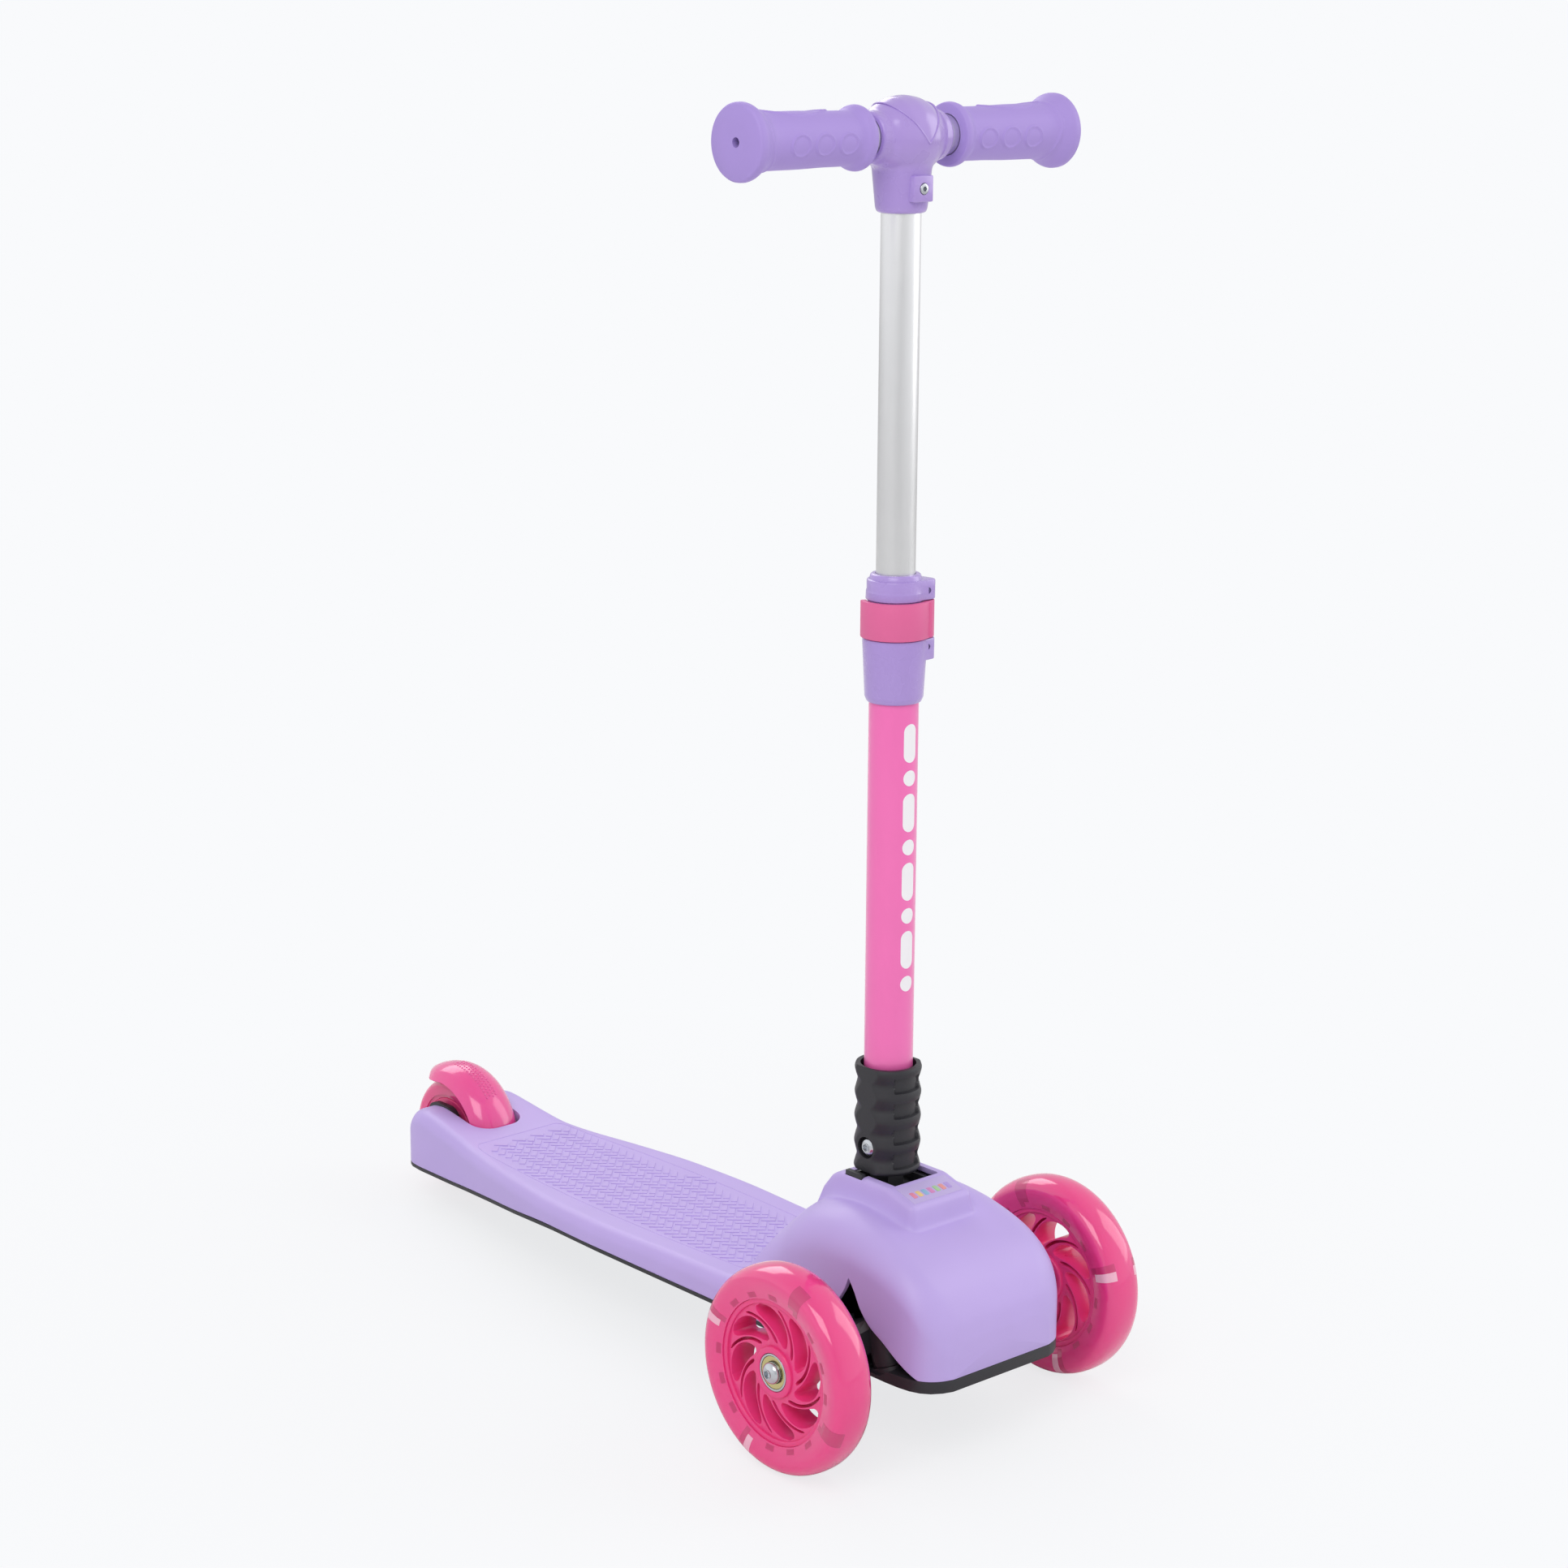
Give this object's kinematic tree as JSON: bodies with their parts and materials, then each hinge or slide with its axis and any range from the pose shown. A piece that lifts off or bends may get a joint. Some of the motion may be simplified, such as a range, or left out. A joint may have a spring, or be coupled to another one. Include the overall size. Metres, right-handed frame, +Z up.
{
  "type": "three wheel kids scooter",
  "caption": "Folding kids kick scooter with big pink front wheels that steer, a small rear wheel under a foot brake, a purple hood and deck, and a telescopic T bar",
  "frame": {"origin": "on the ground, under the middle of the overall box", "axes": "+Z up, the scooter rolls forward along -Y, +X to the right as seen from the front; left and right in names are as seen from the front, so left is -X"},
  "size_m": [0.2432, 0.548, 0.7462],
  "materials": {
    "purple_plastic": "satin moulded purple",
    "purple_rubber": "soft matt purple",
    "pink_plastic": "glossy pink",
    "clear_pink": "glossy translucent pink",
    "pink_paint": "glossy pink paint",
    "lever_pink": "satin pink",
    "black_plastic": "matt black",
    "silver_tube": "satin silver",
    "zinc_steel": "bright zinc plated",
    "clear_plastic": "clear"
  },
  "bodies": {
    "frame": {"top_shell": "purple_plastic", "base_tray": "black_plastic", "stem_bracket": "black_plastic", "tray_screw_1": "zinc_steel", "tray_screw_2": "zinc_steel", "tray_screw_3": "zinc_steel", "tray_screw_4": "zinc_steel", "tray_screw_5": "zinc_steel", "tray_screw_6": "zinc_steel", "rear_axle_bolt": "zinc_steel", "rear_axle_nut": "zinc_steel", "rear_axle_spacer_left": "zinc_steel", "rear_axle_spacer_right": "zinc_steel", "brake_pin": "zinc_steel", "left_kingpin": "zinc_steel", "right_kingpin": "zinc_steel", "left_steering_spring": "zinc_steel", "right_steering_spring": "zinc_steel"},
    "left_knuckle_body": {"left_knuckle": "black_plastic", "left_axle_bolt": "zinc_steel", "left_tie_pin": "zinc_steel"},
    "right_knuckle_body": {"right_knuckle": "black_plastic", "right_axle_bolt": "zinc_steel", "right_tie_pin": "zinc_steel"},
    "left_wheel": {"left_wheel_tyre": "clear_pink", "left_wheel_hub": "pink_plastic", "left_wheel_light_ring": "clear_plastic", "left_wheel_bearing_outer": "zinc_steel", "left_wheel_bearing_inner": "zinc_steel", "left_wheel_bearing_spacer": "zinc_steel"},
    "right_wheel": {"right_wheel_tyre": "clear_pink", "right_wheel_hub": "pink_plastic", "right_wheel_light_ring": "clear_plastic", "right_wheel_bearing_outer": "zinc_steel", "right_wheel_bearing_inner": "zinc_steel", "right_wheel_bearing_spacer": "zinc_steel"},
    "tie_rod_body": {"tie_rod": "black_plastic"},
    "rear_wheel": {"rear_tyre": "clear_pink", "rear_hub": "pink_plastic", "rear_bearing_left": "zinc_steel", "rear_bearing_right": "zinc_steel", "rear_bearing_spacer": "zinc_steel"},
    "brake": {"brake_fender": "clear_pink"},
    "fold_latch": {"fold_bolt": "zinc_steel"},
    "stem": {"fold_socket": "black_plastic", "fold_nut": "zinc_steel", "lower_tube": "pink_paint", "clamp_collar": "purple_plastic", "lever_pin": "zinc_steel"},
    "lever": {"clamp_lever": "lever_pink"},
    "mast": {"upper_tube": "silver_tube", "mast_bush": "black_plastic", "tee_joint": "purple_plastic", "tee_screw": "zinc_steel", "handlebar_tube": "silver_tube", "left_grip": "purple_rubber", "right_grip": "purple_rubber"}
  },
  "joints": [
    {"name": "left_steer", "type": "hinge", "parent": "frame", "child": "left_knuckle_body", "pos_m": [-0.045, -0.22454, 0.06523], "axis": [0, 0.3733, 0.9277], "range_deg": [-15, 15], "stiffness_Nm_per_rad": 5},
    {"name": "right_steer", "type": "hinge", "parent": "frame", "child": "right_knuckle_body", "pos_m": [0.045, -0.22454, 0.06523], "axis": [0, 0.3733, 0.9277], "range_deg": [-15, 15], "stiffness_Nm_per_rad": 5},
    {"name": "tie_rod_pivot", "type": "hinge", "parent": "left_knuckle_body", "child": "tie_rod_body", "pos_m": [-0.045, -0.21016, 0.05945], "axis": [0, 0.3733, 0.9277], "range_deg": [-15, 15]},
    {"name": "left_wheel_spin", "type": "hinge", "parent": "left_knuckle_body", "child": "left_wheel", "pos_m": [-0.1068, -0.21155, 0.06], "axis": [1, 0, 0], "continuous": true},
    {"name": "right_wheel_spin", "type": "hinge", "parent": "right_knuckle_body", "child": "right_wheel", "pos_m": [0.1068, -0.21155, 0.06], "axis": [1, 0, 0], "continuous": true},
    {"name": "rear_wheel_spin", "type": "hinge", "parent": "frame", "child": "rear_wheel", "pos_m": [0, 0.23597, 0.038], "axis": [1, 0, 0], "continuous": true},
    {"name": "brake_press", "type": "hinge", "parent": "frame", "child": "brake", "pos_m": [0, 0.18396, 0.03874], "axis": [-1, 0, 0], "range_deg": [0, 4], "stiffness_Nm_per_rad": 1, "springref_deg": -5.73},
    {"name": "latch_lift", "type": "slide", "parent": "frame", "child": "fold_latch", "axis": [0, 0.0335, 0.9994], "range_m": [0, 0.005]},
    {"name": "fold", "type": "hinge", "parent": "fold_latch", "child": "stem", "pos_m": [0, -0.17427, 0.15731], "axis": [-1, 0, 0], "range_deg": [0, 90]},
    {"name": "lever_swing", "type": "hinge", "parent": "stem", "child": "lever", "pos_m": [0.01394, -0.1757, 0.46403], "axis": [0, 0.0335, 0.9994], "range_deg": [0, 100]},
    {"name": "mast_height", "type": "slide", "parent": "stem", "child": "mast", "axis": [0, 0.0335, 0.9994], "range_m": [-0.16, 0]}
  ],
  "couplings": [
    {"joint": "right_steer", "follows": "left_steer", "ratio": 1},
    {"joint": "tie_rod_pivot", "follows": "left_steer", "ratio": -1}
  ]
}
